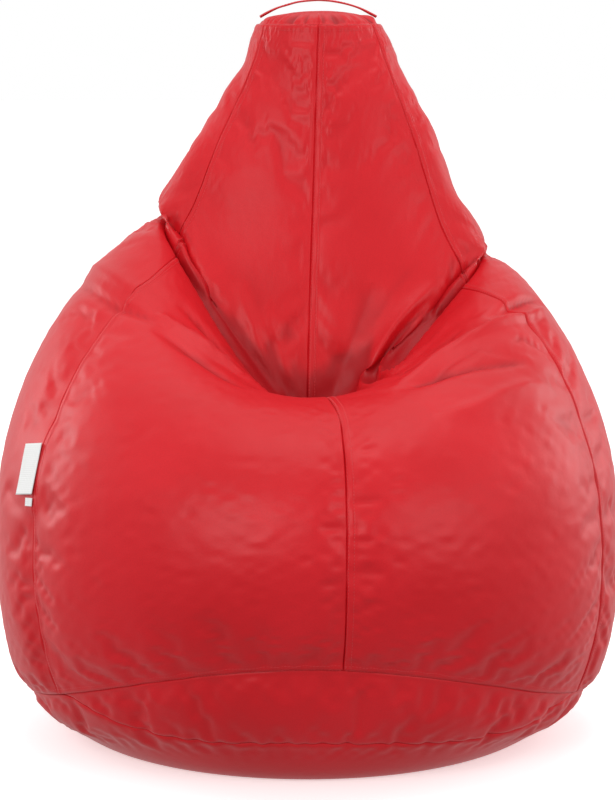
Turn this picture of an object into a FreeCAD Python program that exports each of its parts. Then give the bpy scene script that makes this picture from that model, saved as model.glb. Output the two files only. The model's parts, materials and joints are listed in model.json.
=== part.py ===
"""Bean bag chair: a teardrop leatherette bag of six gores, with a carry handle, a filling zip and a seam label.

Millimetres, +Z up, the sitter faces -Y. The origin is on the floor under the middle of the bag.
"""
import FreeCAD, Part
import Sketcher
import math
import os

from FreeCAD import Rotation, Vector

os.makedirs("parts", exist_ok=True)
doc = FreeCAD.newDocument("bean_bag_chair")

# ---------------------------------------------------------------- driving dimensions
DRIVING = [
    ("bag_width", 864, "across the arms at the belly"),
    ("bag_depth", 873, "belly front to the back of the bag"),
    ("cap_height", 990, "floor to the cap seam"),
    ("cap_radius", 88, "round top panel"),
    ("cap_rear", 255, "cap centre behind the origin"),
    ("cap_lean", 15.6, "cap centre to the sitter's left"),
    ("cap_rise", 16, "crown of the domed cap above its seam"),
    ("cover_wall", 1.2, "leatherette"),
    ("seam_gap", 1.2, "between two sewn panels"),
    ("liner_inset", 6, "cover's outside to the liner's outside"),
    ("fold_room", 12, "liner's further distance under the waist's fold"),
    ("liner_wall", 0.8, "liner cloth, doubled"),
    ("fill_gap", 2.2, "liner to beads"),
    ("handle_rise", 36, "top of the strap above the cap seam"),
    ("handle_pivot_rise", 12, "the strap's sewn ends above the cap seam"),
    ("handle_reach", 85, "half the distance between the strap's ends"),
    ("handle_wide", 25, "strap width at its middle"),
    ("handle_end_wide", 13, "strap width at its gathered ends"),
    ("handle_wall", 2.4, "folded strap"),
    ("zip_foot", 130, "floor to the lowest tooth"),
    ("zip_length", 300, "lowest tooth to highest tooth"),
    ("zip_half_opening", 8, "zip centre line to each panel edge"),
    ("tape_wide", 15, "one zip tape"),
    ("tape_wall", 0.5, "woven tape"),
    ("tape_clear", 0.3, "panel to tape"),
    ("web_gap", 1.0, "between the two rows of teeth"),
    ("tooth_wide", 2.6, "one tooth, across the zip"),
    ("tooth_thick", 2.4, "one tooth, through the zip"),
    ("tooth_tall", 1.7, "one tooth, along the zip"),
    ("tooth_pitch", 3, "tooth to tooth"),
    ("slider_clear", 0.35, "slider to teeth and tape"),
    ("slider_plate", 1.2, "plate of the slider"),
    ("slider_long", 13, "slider, along the zip"),
    ("slider_flange", 1.2, "lip each side of the slider"),
    ("slider_web", 0.5, "web that joins the slider's two plates"),
    ("bridge_pin", 1.8, "diameter of the slider's bridge pin"),
    ("pull_long", 32, "pull tab, from its pin down"),
    ("pull_wide", 8, "pull tab"),
    ("pull_wall", 1.4, "pull tab"),
    ("pin_clear", 0.25, "pull's eye round the bridge pin"),
    ("label_tall", 70, "side label, along the seam"),
    ("label_wide", 48, "side label, out from the seam"),
    ("label_wall", 0.9, "folded woven label"),
    ("label_clear", 0.9, "label to the cover"),
    ("label_height", 406, "floor to the middle of the label"),
    ("tag_tall", 11, "size tag, along the seam"),
    ("tag_wide", 20, "size tag, out from the seam"),
    ("tag_gap", 3, "label to size tag"),
]

sheet = doc.addObject("Spreadsheet::Sheet", "sizes")
ROW = {}


def set_cell(alias, value, note=""):
    """One sheet row: what the size is, its value and its alias."""
    row = ROW.setdefault(alias, len(ROW) + 1)
    sheet.set(f"A{row}", note or alias)
    sheet.set(f"B{row}", str(value))
    sheet.setAlias(f"B{row}", alias)


for alias, value, note in DRIVING:
    set_cell(alias, value, note)
doc.recompute()


def size(alias):
    return float(sheet.get(alias))


# ---------------------------------------------------------------- shape of the filled bag
# Rings round the bag from the floor up, drawn for a bag of the sizes below and scaled to the sheet's.
# front (y, z), left arm (x, y, z), right arm (x, y, z), rear (y, z), and how sharply the front dips.
DRAWN_WIDTH, DRAWN_DEPTH, DRAWN_HEIGHT = 864.0, 873.0, 990.0
RINGS = [
    ("contact", (-262, 0), (296, 50, 0), (300, 50, 0), (350, 0), 2.0),
    ("under", (-336, 66), (350, 35, 24), (350, 35, 24), (398, 18), 1.8),
    ("base_seam", (-386, 172), (398, 25, 66), (396, 25, 64), (424, 50), 1.9),
    ("low_belly", (-418, 240), (424, 15, 150), (420, 15, 140), (438, 130), 1.9),
    ("belly", (-430, 325), (432, 15, 260), (432, 15, 250), (443, 260), 2.0),
    ("high_belly", (-402, 412), (420, 25, 400), (422, 25, 400), (436, 420), 2.0),
    ("shoulder", (-330, 484), (376, 60, 522), (378, 55, 530), (410, 570), 2.0),
    ("rim", (-235, 508), (318, 115, 612), (312, 110, 634), (386, 680), 2.0),
    ("seat", (-120, 470), (276, 150, 650), (244, 155, 700), (370, 745), 1.6),
    ("waist", (20, 440), (244, 165, 660), (212, 168, 718), (362, 770), 1.3),
    ("ear", (46, 500), (258, 172, 672), (226, 175, 732), (358, 795), 1.5),
    ("lower_back", (80, 600), (216, 185, 742), (198, 188, 780), (352, 840), 2.0),
    ("back", (120, 760), (172, 210, 842), (163, 212, 845), (347, 895), 2.0),
    ("upper_back", (148, 890), (125, 235, 930), (112, 235, 930), (345, 945), 2.0),
]
CONTACT, BASE_SEAM, WAIST = 0, 2, 9
FOLD_REACH = 2.2  # rings each side of the waist where the liner keeps clear of its fold
CALM_MIDDLE, CALM_REACH, CALM_EASE = 9.2, 3.6, 1.6  # rings over which the liner evens out the fold's sharp turns
CALM_STEPS = (-1.6, -1.2, -0.8, -0.4, 0.0, 0.4, 0.8, 1.2, 1.6)
CAP_SEAM = len(RINGS)
BELLY_TOP = 6

SCALE_X = size("bag_width") / DRAWN_WIDTH
SCALE_Y = size("bag_depth") / DRAWN_DEPTH
SCALE_Z = size("cap_height") / DRAWN_HEIGHT
LEAN_START = 0.5 * size("cap_height")
LEAN_POWER = 1.2
BELLY_TWIST = math.radians(9)
TWIST_TOWARDS = math.radians(50)
HALF_TURN = math.pi
GORE = math.radians(60)


def smooth(t):
    """Eased step from 0 to 1."""
    t = min(max(t, 0.0), 1.0)
    return t * t * (3 - 2 * t)


def ring_point(ring, angle):
    """A ring's point at an angle from the front (-Y) towards +X: quarter ellipses between its four key points."""
    s, c = math.sin(angle), math.cos(angle)
    if ring == CAP_SEAM:
        radius = size("cap_radius")
        return Vector(radius * s, size("cap_rear") - radius * c, size("cap_height"))
    _, front, left_arm, right_arm, rear, dip = RINGS[ring]
    arm = left_arm if s >= 0 else right_arm
    end = front if c >= 0 else rear
    share = 1 - abs(s) ** dip if c >= 0 else c * c
    return Vector(
        SCALE_X * arm[0] * s,
        SCALE_Y * (arm[1] + (end[0] - arm[1]) * abs(c)),
        SCALE_Z * (arm[2] + (end[1] - arm[2]) * share),
    )


def ring_slope(ring, angle):
    """How the bag runs on from ring to ring: half the step between the neighbours, flat where it leaves the floor."""
    below = ring_point(max(ring - 1, CONTACT), angle)
    above = ring_point(min(ring + 1, CAP_SEAM), angle)
    if ring == CONTACT:
        return Vector(above.x - below.x, above.y - below.y, 0)
    return (above - below) * (1.0 if ring == CAP_SEAM else 0.5)


def seam_twist(level, angle):
    """The belly's seams are pulled round towards the sitter's left; the zip's seam at the rear isn't."""
    turn = (angle + HALF_TURN) % (2 * HALF_TURN) - HALF_TURN
    lobe = abs(math.cos((turn - TWIST_TOWARDS) / 2)) ** 3 * (1 - (turn / HALF_TURN) ** 4)
    return BELLY_TWIST * lobe * smooth(1 - (level - BELLY_TOP) / (WAIST - BELLY_TOP))


def loose_point(level, angle):
    """The bag's outside, before the zip straightens it: a cubic through the rings at one angle."""
    angle += seam_twist(level, angle)
    ring = min(int(level), CAP_SEAM - 1)
    u = level - ring
    a, b = ring_point(ring, angle), ring_point(ring + 1, angle)
    p = (
        a * (2 * u**3 - 3 * u**2 + 1)
        + ring_slope(ring, angle) * (u**3 - 2 * u**2 + u)
        + b * (3 * u**2 - 2 * u**3)
        + ring_slope(ring + 1, angle) * (u**3 - u**2)
    )
    rise = max(p.z - LEAN_START, 0) / (size("cap_height") - LEAN_START)
    p.x += size("cap_lean") * rise**LEAN_POWER
    return p


def level_at(height, angle):
    """The level at which a seam passes a height on its way up the belly."""
    low, high = float(CONTACT), float(BELLY_TOP)
    for _ in range(40):
        middle = (low + high) / 2
        if loose_point(middle, angle).z < height:
            low = middle
        else:
            high = middle
    return low


ZIP_LOW = size("zip_foot")
ZIP_HIGH = ZIP_LOW + size("zip_length")
zip_ends = [loose_point(level_at(z, HALF_TURN), HALF_TURN).y for z in (ZIP_LOW, ZIP_HIGH)]
set_cell("zip_plane", max(zip_ends), "the cover's outside along the zip, behind the origin")
set_cell("zip_high", ZIP_HIGH, "floor to the highest tooth")
doc.recompute()
ZIP_FLAT_ANGLE = math.radians(16)
ZIP_FLAT_RUN = 60.0
ZIP_END_ROOM = 16.0


def beside_zip(height, run):
    """1 along the zip and its end stops, easing to 0 over a run beyond them."""
    below = smooth(1 - (ZIP_LOW - ZIP_END_ROOM - height) / run)
    above = smooth(1 - (height - ZIP_HIGH - ZIP_END_ROOM) / run)
    return below * above


def cover_point(level, angle):
    """The bag's outside. The zip holds its own seam straight and upright."""
    p = loose_point(level, angle)
    off = abs((angle % (2 * HALF_TURN)) - HALF_TURN) / ZIP_FLAT_ANGLE
    if off < 1:
        p.y += (size("zip_plane") - p.y) * smooth(1 - off) * beside_zip(p.z, ZIP_FLAT_RUN)
    return p


def cover_normal(level, angle):
    """Outward unit normal, by differences; straight down on the floor and level round the cap seam."""
    if level <= CONTACT:
        return Vector(0, 0, -1)
    step = 0.01
    up = cover_point(min(level + step, CAP_SEAM), angle) - cover_point(max(level - step, CONTACT), angle)
    along = cover_point(level, angle + step) - cover_point(level, angle - step)
    normal = along.cross(up).normalize()
    level_out = Vector(math.sin(angle), -math.cos(angle), 0)
    share = smooth(level - (CAP_SEAM - 1))
    return (normal * (1 - share) + level_out * share).normalize()


def inset_point(level, angle, depth):
    return cover_point(level, angle) - cover_normal(level, angle) * depth


def loose_inset_point(level, angle, depth):
    """As inset_point, but near the waist along a normal averaged over the rings beside it, so that a deep inset
    doesn't cross itself in the fold."""
    total = Vector()
    for step in CALM_STEPS:
        total += cover_normal(min(max(level + step, 0.5), CAP_SEAM - 0.5), angle)
    calm = smooth((CALM_REACH - abs(level - CALM_MIDDLE)) / CALM_EASE)
    normal = (cover_normal(level, angle) * (1 - calm) + total.normalize() * calm).normalize()
    return cover_point(level, angle) - normal * depth


# ---------------------------------------------------------------- panels cut from that shape
def sheet_surface(rows, depth):
    """A smooth surface through rows of (level, angle) pairs, a depth inside the bag's outside."""
    surface = Part.BSplineSurface()
    surface.interpolate([[inset_point(level, angle, depth) for level, angle in row] for row in rows])
    return surface


def loose_surface(rows, depth):
    """As sheet_surface, but with more room under the waist's fold, where a loose inner bag doesn't follow the cover."""
    points = []
    for row in rows:
        room = size("fold_room") * smooth(FOLD_REACH - abs(row[0][0] - WAIST))
        points.append([loose_inset_point(level, angle, depth + room) for level, angle in row])
    surface = Part.BSplineSurface()
    surface.interpolate(points)
    return surface


def sew(faces, label):
    """One closed solid from faces that share their edges."""
    shell = Part.makeShell(faces)
    shell.sewShape()
    solid = Part.makeSolid(shell)
    if solid.Volume < 0:
        solid.reverse()
    if not solid.isValid() or not solid.isClosed():
        raise ValueError(f"{label} did not close")
    return solid


def bounds_of(surface):
    """The four edges of a surface: first row, last row, first column, last column."""
    return [
        surface.uIso(0).toShape(),
        surface.uIso(1).toShape(),
        surface.vIso(0).toShape(),
        surface.vIso(1).toShape(),
    ]


def panel_solid(rows, label):
    """A leatherette panel: outside, inside and the four cut edges."""
    outer = sheet_surface(rows, 0)
    inner = sheet_surface(rows, size("cover_wall"))
    faces = [outer.toShape(), inner.toShape()]
    faces += [Part.makeRuledSurface(a, b) for a, b in zip(bounds_of(outer), bounds_of(inner))]
    return sew(faces, label)


pieces = []  # every separate piece of the object, in the order they are made


def shape_piece(label, shape):
    """A piece whose shape is worked out from the sheet's sizes."""
    piece = doc.addObject("Part::Feature", label)
    piece.Label = label
    piece.Shape = shape
    piece.Placement = FreeCAD.Placement()
    pieces.append(piece)
    return piece


def spread(low, high, count):
    return [low + (high - low) * i / (count - 1) for i in range(count)]


def gap_angle(level, angle, gap):
    """The turn that covers a gap in millimetres along a ring."""
    step = 0.02
    run = (loose_point(level, angle + step) - loose_point(level, angle - step)).Length / (2 * step)
    return gap / run


SEAM_LEVEL_GAP = 0.008
GORE_COLUMNS = 7
ROWS_PER_RING = 3


def gore_rows(start):
    """A gore's grid, from the base seam to the cap seam. Its edges stop short of the seams, and of the zip."""
    levels = spread(BASE_SEAM + SEAM_LEVEL_GAP, CAP_SEAM - SEAM_LEVEL_GAP, (CAP_SEAM - BASE_SEAM) * ROWS_PER_RING + 1)
    rows = []
    for level in levels:
        ends = []
        for edge, inwards in ((start, 1), (start + GORE, -1)):
            gap = size("seam_gap") / 2
            if abs(edge - HALF_TURN) < 0.01 and level < BELLY_TOP + 1:
                height = loose_point(level, HALF_TURN).z
                gap += (size("zip_half_opening") - gap) * beside_zip(height, ZIP_FLAT_RUN)
            ends.append(edge + inwards * gap_angle(level, edge, gap))
        rows.append([(level, angle) for angle in spread(ends[0], ends[1], GORE_COLUMNS)])
    return rows


GORES = {
    "front_left_panel": 0,
    "side_left_panel": 1,
    "back_left_panel": 2,
    "back_right_panel": 3,
    "side_right_panel": 4,
    "front_right_panel": 5,
}
for label, place in GORES.items():
    shape_piece(label, panel_solid(gore_rows(place * GORE), label))

# The base disc is cut on two chords: a small segment in front, one behind, and the centre panel with the floor.
CHORD_SQUARENESS = 4
CHORD_EASE = 1.5
CHORD_GAP = 0.03
SEGMENT_TIP = 0.96


def chord_level(angle):
    """The level of the chord seam: the base seam at the gore seams each side, the ring called under between."""
    turn = (angle + HALF_TURN / 2) % HALF_TURN - HALF_TURN / 2
    share = min(abs(turn) / GORE, 1)
    return BASE_SEAM - (1 - share**CHORD_SQUARENESS) ** CHORD_EASE


def segment_rows(middle):
    """A base segment's grid, between its chord and the base seam."""
    angles = spread(middle - GORE * SEGMENT_TIP, middle + GORE * SEGMENT_TIP, 15)
    rows = []
    for share in spread(0, 1, 5):
        row = []
        for angle in angles:
            low, high = chord_level(angle) + CHORD_GAP, BASE_SEAM - SEAM_LEVEL_GAP
            row.append((low + (high - low) * share, angle))
        rows.append(row)
    return rows


shape_piece("base_front_segment", panel_solid(segment_rows(0), "base_front_segment"))
shape_piece("base_back_segment", panel_solid(segment_rows(HALF_TURN), "base_back_segment"))


ROUND_COLUMNS = 37


def ring_rows(count, top):
    """Closed rings of (level, angle) pairs from the floor up; top gives the highest level at each angle."""
    angles = spread(0, 2 * HALF_TURN, ROUND_COLUMNS)
    return [[(share * top(angle), angle) for angle in angles] for share in spread(0, 1, count)]


def flat_face(surface, end):
    """The flat face that closes a ring surface at its first row (end 0) or last row (end 1)."""
    return Part.Face(Part.Wire([surface.uIso(end).toShape()]))


def base_centre_solid():
    """The centre panel is a shallow dish: the flat patch on the floor and the skirt that turns up from it."""
    rows = ring_rows(9, lambda angle: chord_level(angle) - CHORD_GAP)
    outer = sheet_surface(rows, 0)
    inner = sheet_surface(rows, size("cover_wall"))
    rim = Part.makeRuledSurface(outer.uIso(1).toShape(), inner.uIso(1).toShape())
    return sew([outer.toShape(), inner.toShape(), rim, flat_face(outer, 0), flat_face(inner, 0)], "base_centre_panel")


shape_piece("base_centre_panel", base_centre_solid())


def bag_solid(depth, label):
    """The whole inside of the bag a depth in from the cover's outside, flat on the floor and under the cap."""
    side = loose_surface(ring_rows(CAP_SEAM * 2 + 1, lambda angle: CAP_SEAM), depth)
    return sew([side.toShape(), flat_face(side, 0), flat_face(side, 1)], label)


LINER_INNER = size("liner_inset") + size("liner_wall")
liner_outside = bag_solid(size("liner_inset"), "inner_liner")
liner_inside = bag_solid(LINER_INNER, "inner_liner")
liner_shells = [liner_outside.Shells[0], liner_inside.Shells[0].reversed()]
shape_piece("inner_liner", Part.makeSolid(Part.makeCompound(liner_shells)))
shape_piece("bead_fill", bag_solid(LINER_INNER + size("fill_gap"), "bead_fill"))


# ---------------------------------------------------------------- sketched and primitive pieces
def place(piece, x="0", y="0", z="0", axis=None, turn=0):
    """Puts a piece at expressions of the sheet, turned by a fixed number of degrees about an axis."""
    if axis:
        piece.Placement = FreeCAD.Placement(Vector(), Rotation(axis, turn))
    for name, expression in (("x", x), ("y", y), ("z", z)):
        piece.setExpression(f"Placement.Base.{name}", expression)


def new_body(label):
    """A PartDesign body that is a piece of its own."""
    body = doc.addObject("PartDesign::Body", label)
    body.Label = label
    pieces.append(body)
    return body


def new_sketch(body, plane, label):
    """A sketch on one of the body's own origin planes."""
    sketch = body.newObject("Sketcher::SketchObject", label)
    origin_plane = [feature for feature in body.Origin.OriginFeatures if feature.Role == plane][0]
    sketch.AttachmentSupport = (origin_plane, [""])
    sketch.MapMode = "FlatFace"
    return sketch


def outline(sketch, corners):
    """A closed outline of straight lines."""
    for a, b in zip(corners, corners[1:] + corners[:1]):
        sketch.addGeometry(Part.LineSegment(Vector(*a), Vector(*b)))


def bind(sketch, kind, arguments, expression):
    """A driving dimension that follows the sheet."""
    value = sketch.evalExpression(expression)
    index = sketch.addConstraint(Sketcher.Constraint(kind, *arguments, float(value)))
    sketch.setExpression(f"Constraints[{index}]", expression)


def pad(body, sketch, label, length, kind="One side"):
    feature = body.newObject("PartDesign::Pad", label)
    feature.Profile = sketch
    feature.SideType = kind
    feature.setExpression("Length", length)
    body.Tip = feature
    return feature


def box(label, length, width, height, x, y, z):
    """A Part box whose sizes and corner are expressions of the sheet."""
    piece = doc.addObject("Part::Box", label)
    piece.Label = label
    for name, expression in (("Length", length), ("Width", width), ("Height", height)):
        piece.setExpression(name, expression)
    place(piece, x, y, z)
    return piece


def pin_across(label, radius, length, y, z):
    """A Part cylinder along X, centred on x = 0."""
    piece = doc.addObject("Part::Cylinder", label)
    piece.Label = label
    piece.setExpression("Radius", radius)
    piece.setExpression("Height", length)
    place(piece, f"-({length}) / 2", y, z, Vector(0, 1, 0), 90)
    return piece


def fuse(label, shapes):
    whole = doc.addObject("Part::MultiFuse", label)
    whole.Label = label
    whole.Shapes = shapes
    return whole


# ---------------------------------------------------------------- top cap and carry handle
def cap_body():
    """The cap: a domed disc turned about its own upright axis."""
    body = new_body("top_cap")
    sketch = new_sketch(body, "XZ_Plane", "cap_profile")
    rim, rise, wall = size("cap_radius"), size("cap_rise"), size("cover_wall")
    crown, shoulder, edge = Vector(0, rise), Vector(rim / 2, rise * 0.76), Vector(rim, 0)
    up = Vector(0, wall)
    sketch.addGeometry(Part.Arc(crown, shoulder, edge))
    sketch.addGeometry(Part.LineSegment(edge, edge + up))
    sketch.addGeometry(Part.Arc(crown + up, shoulder + up, edge + up))
    sketch.addGeometry(Part.LineSegment(crown + up, crown))
    bind(sketch, "DistanceX", (-1, 1, 1, 1), "sizes.cap_radius")
    turn = body.newObject("PartDesign::Revolution", "cap_turn")
    turn.Profile = sketch
    turn.ReferenceAxis = (sketch, ["V_Axis"])
    turn.Angle = 360
    body.Tip = turn
    place(body, "sizes.cap_lean", "sizes.cap_rear", "sizes.cap_height + sizes.seam_gap")


HANDLE_TAPER = 0.55  # share of the reach where the strap starts to narrow


def handle_body():
    """The strap: an arch over the cap, padded across, with its two ends gathered narrower."""
    body = new_body("carry_handle")
    arch = new_sketch(body, "XZ_Plane", "handle_arch")
    reach, wall = size("handle_reach"), size("handle_wall")
    top = size("handle_rise") - size("handle_pivot_rise")
    left, crown, right = Vector(-reach, 0), Vector(0, top), Vector(reach, 0)
    step_in, step_down = Vector(wall, 0), Vector(0, wall)
    arch.addGeometry(Part.Arc(left, crown, right))
    arch.addGeometry(Part.LineSegment(right, right - step_in))
    arch.addGeometry(Part.Arc(left + step_in, crown - step_down, right - step_in))
    arch.addGeometry(Part.LineSegment(left + step_in, left))
    pad(body, arch, "strap", "sizes.handle_wide", "Symmetric")
    doc.recompute()
    gather = new_sketch(body, "XY_Plane", "handle_gather")
    half, end_half, beyond = size("handle_wide") / 2, size("handle_end_wide") / 2, 4.0
    for side in (-1, 1):
        for way in (-1, 1):
            outline(gather, [
                (side * reach * HANDLE_TAPER, way * half),
                (side * reach * HANDLE_TAPER, way * (half + beyond)),
                (side * (reach + beyond), way * (half + beyond)),
                (side * (reach + beyond), way * end_half),
            ])
    trim = body.newObject("PartDesign::Pocket", "gather_trim")
    trim.Profile = gather
    trim.Type = "ThroughAll"
    trim.SideType = "Symmetric"
    body.Tip = trim
    place(body, "sizes.cap_lean", "sizes.cap_rear", "sizes.cap_height + sizes.handle_pivot_rise")


cap_body()
handle_body()

# ---------------------------------------------------------------- filling zip, on the rear centre seam
# Across the zip is X, out of the bag is +Y. The tapes' outer faces lie just inside the panels.
TAPE_FACE = "(sizes.zip_plane - sizes.cover_wall - sizes.tape_clear)"
CHAIN_Y = f"({TAPE_FACE} - sizes.tape_wall / 2)"
ROW_EDGE = "(sizes.web_gap / 2)"
TAPE_EDGE = "(sizes.web_gap / 2 + sizes.tooth_wide)"
TAPE_TAIL = "12"
STOP_TALL = "4"
STOP_GAP = "0.6"


def tape(side, sign):
    edge = TAPE_EDGE if sign > 0 else f"-({TAPE_EDGE} + sizes.tape_wide)"
    length = f"sizes.zip_length + 2 * {TAPE_TAIL}"
    pieces.append(box(f"zip_tape_{side}", "sizes.tape_wide", "sizes.tape_wall", length,
                      edge, f"{TAPE_FACE} - sizes.tape_wall", f"sizes.zip_foot - {TAPE_TAIL}"))


def teeth(side, sign):
    """A row of moulded teeth on a cord: the cord's section padded up the zip, and one tooth repeated along it."""
    body = new_body(f"zip_teeth_{side}")
    near, far = size("web_gap") / 2, size("web_gap") / 2 + size("tooth_wide")
    half, cord = size("tooth_thick") / 2, size("tooth_thick") / 4
    cord_section = new_sketch(body, "XY_Plane", f"cord_{side}")
    cord_in = far - size("tooth_wide") / 3
    outline(cord_section, [(sign * cord_in, -cord), (sign * far, -cord), (sign * far, cord), (sign * cord_in, cord)])
    pad(body, cord_section, f"cord_run_{side}", "sizes.zip_length")
    tooth_section = new_sketch(body, "XY_Plane", f"tooth_{side}")
    outline(tooth_section, [(sign * near, -half), (sign * far, -half), (sign * far, half), (sign * near, half)])
    tooth = pad(body, tooth_section, f"one_tooth_{side}", "sizes.tooth_tall")
    row = body.newObject("PartDesign::LinearPattern", f"tooth_row_{side}")
    row.Originals = [tooth]
    row.Direction = (tooth_section, ["N_Axis"])
    row.setExpression("Length", "sizes.zip_length - sizes.tooth_tall")
    row.setExpression("Occurrences", "floor(sizes.zip_length / sizes.tooth_pitch)")
    body.Tip = row
    place(body, "0", CHAIN_Y, "sizes.zip_foot")


def stop(label, x, long, z):
    """A stop clamped on a tape's edge, as thick as the teeth."""
    y = f"{CHAIN_Y} - sizes.tooth_thick / 2"
    return box(label, long, "sizes.tooth_thick", STOP_TALL, x, y, z)


for side, sign in (("left", 1), ("right", -1)):
    tape(side, sign)
    teeth(side, sign)

STOP_IN = "(sizes.tooth_wide - 0.05)"
top_stops = doc.addObject("Part::Compound", "zip_top_stops")
top_stops.Label = "zip_top_stops"
top_stops.Links = [
    stop("top_stop_left", ROW_EDGE, STOP_IN, f"sizes.zip_high + {STOP_GAP}"),
    stop("top_stop_right", f"-{ROW_EDGE} - {STOP_IN}", STOP_IN, f"sizes.zip_high + {STOP_GAP}"),
]
pieces.append(top_stops)
STOP_FOOT = f"sizes.zip_foot - {STOP_GAP} - {STOP_TALL}"
pieces.append(stop("zip_bottom_stop", f"-{ROW_EDGE} - {STOP_IN}", f"2 * ({ROW_EDGE} + {STOP_IN})", STOP_FOOT))

# The slider straddles both rows at the top of the zip. Its two plates are joined by a thin web between the rows.
PLATE_IN = f"({CHAIN_Y} + sizes.tooth_thick / 2 + sizes.slider_clear)"
PLATE_OUT = f"({PLATE_IN} + sizes.slider_plate)"
INNER_PLATE = f"({CHAIN_Y} - sizes.tooth_thick / 2 - sizes.slider_clear - sizes.slider_plate)"
FLANGE_FOOT = f"({TAPE_FACE} + sizes.slider_clear)"
SLIDER_HALF = f"({TAPE_EDGE} + sizes.slider_clear + sizes.slider_flange)"
SLIDER_FOOT = "(sizes.zip_high - sizes.slider_long)"
EYE_WALL = "1"
EYE_RADIUS = f"(sizes.bridge_pin / 2 + sizes.pin_clear + {EYE_WALL})"
PIN_Y = f"({PLATE_OUT} + {EYE_RADIUS} + sizes.slider_clear)"
PIN_Z = "(sizes.zip_high - sizes.slider_long / 2)"
EYE_HALF = "1.9"
POST_IN = f"({EYE_HALF} + sizes.pin_clear)"
POST_WIDE = "1.2"
POST_HALF_TALL = "1.3"


def slider():
    wide = f"2 * {SLIDER_HALF}"
    flange_deep = f"{PLATE_OUT} - {FLANGE_FOOT}"
    post_deep = f"{PIN_Y} + sizes.bridge_pin / 2 - {PLATE_IN}"
    post_z = f"{PIN_Z} - {POST_HALF_TALL}"
    web_deep = f"{PLATE_OUT} - {INNER_PLATE}"
    web_y = INNER_PLATE
    web_z = f"{SLIDER_FOOT} + sizes.slider_long / 3"
    shapes = [
        box("slider_face", wide, "sizes.slider_plate", "sizes.slider_long", f"-{SLIDER_HALF}", PLATE_IN, SLIDER_FOOT),
        box("slider_back", wide, "sizes.slider_plate", "sizes.slider_long", f"-{SLIDER_HALF}", INNER_PLATE, SLIDER_FOOT),
        box("slider_web_plate", "sizes.slider_web", web_deep, "sizes.slider_long / 3",
            "-sizes.slider_web / 2", web_y, web_z),
        box("flange_left", "sizes.slider_flange", flange_deep, "sizes.slider_long",
            f"{SLIDER_HALF} - sizes.slider_flange", FLANGE_FOOT, SLIDER_FOOT),
        box("flange_right", "sizes.slider_flange", flange_deep, "sizes.slider_long",
            f"-{SLIDER_HALF}", FLANGE_FOOT, SLIDER_FOOT),
        box("post_left", POST_WIDE, post_deep, f"2 * {POST_HALF_TALL}", POST_IN, PLATE_IN, post_z),
        box("post_right", POST_WIDE, post_deep, f"2 * {POST_HALF_TALL}",
            f"-{POST_IN} - {POST_WIDE}", PLATE_IN, post_z),
        pin_across("bridge_bar", "sizes.bridge_pin / 2", f"2 * ({POST_IN} + {POST_WIDE} / 2)", PIN_Y, PIN_Z),
    ]
    pieces.append(fuse("zip_slider", shapes))


def pull():
    """The tab hangs from an eye that turns on the slider's bridge pin."""
    neck_long = "5"
    eye = pin_across("pull_eye", EYE_RADIUS, f"2 * {EYE_HALF}", PIN_Y, PIN_Z)
    bore = pin_across("pull_bore", "sizes.bridge_pin / 2 + sizes.pin_clear", f"3 * {EYE_HALF}", PIN_Y, PIN_Z)
    tab_y = f"{PIN_Y} - sizes.pull_wall / 2"
    neck = box("pull_neck", f"2 * {EYE_HALF}", "sizes.pull_wall", f"{neck_long} + 1",
               f"-{EYE_HALF}", tab_y, f"{PIN_Z} - {neck_long} - 1")
    tab = box("pull_plate", "sizes.pull_wide", "sizes.pull_wall", f"sizes.pull_long - {neck_long}",
              "-sizes.pull_wide / 2", tab_y, f"{PIN_Z} - sizes.pull_long")
    body = fuse("pull_solid", [eye, neck, tab])
    whole = doc.addObject("Part::Cut", "zip_pull")
    whole.Label = "zip_pull"
    whole.Base = body
    whole.Tool = bore
    pieces.append(whole)


slider()
pull()

# ---------------------------------------------------------------- labels, sewn into the sitter's right front seam
LABEL_SEAM = -GORE


def seam_frame(height):
    """Where the labels' seam passes a height: the point, away from the seam, down the seam, and outwards."""
    level, step = level_at(height, LABEL_SEAM), 0.02
    point = cover_point(level, LABEL_SEAM)
    down = (cover_point(level - step, LABEL_SEAM) - cover_point(level + step, LABEL_SEAM)).normalize()
    out = cover_normal(level, LABEL_SEAM)
    return point, down.cross(out), down, out


def label_piece(label, wide, tall, height):
    """A flat folded label that lies over the side panel, held along the seam. Prints its hinge."""
    point, away, down, out = seam_frame(height)
    lift = size("label_clear")
    body = new_body(label)
    sketch = new_sketch(body, "XY_Plane", f"{label}_outline")
    half = size(tall) / 2
    outline(sketch, [(0, -half), (size(wide), -half), (size(wide), half), (0, half)])
    pad(body, sketch, f"{label}_cloth", "sizes.label_wall")
    turn = Rotation(away, down, out, "ZXY")
    body.Placement = FreeCAD.Placement(point + out * lift, turn)
    pivot = point + out * (lift + size("label_wall") / 2)
    axis = away.cross(out)
    print("HINGE", label, [round(v / 1000, 5) for v in pivot], [round(v, 5) for v in axis])


label_piece("side_label", "label_wide", "label_tall", size("label_height"))
TAG_HEIGHT = size("label_height") - size("label_tall") / 2 - size("tag_gap") - size("tag_tall") / 2
label_piece("size_tag", "tag_wide", "tag_tall", TAG_HEIGHT)

# ---------------------------------------------------------------- checks and output
doc.recompute()
for thing in doc.Objects:
    if any(word in thing.State for word in ("Invalid", "Error")):
        raise ValueError(f"{thing.Label} failed: {thing.State}")
for piece in pieces:
    if piece.Shape.isNull() or not piece.Shape.isValid():
        raise ValueError(f"{piece.Label} has no valid shape")
for piece in pieces:
    piece.Shape.exportStep(f"parts/{piece.Label}.step")
print("HINGE zip_pull", *[round(float(doc.getObject("bridge_bar").Placement.Base[i]) / 1000, 5) for i in range(3)])
print("pieces", len(pieces))
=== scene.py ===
"""Bean bag chair: leatherette gores sewn round a filled bag, with felled seams, cap, strap, zip and blank labels.

Metres, in the design's own frame: +Z up, the sitter faces -Y, left is the sitter's left (+X).
"""

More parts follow.
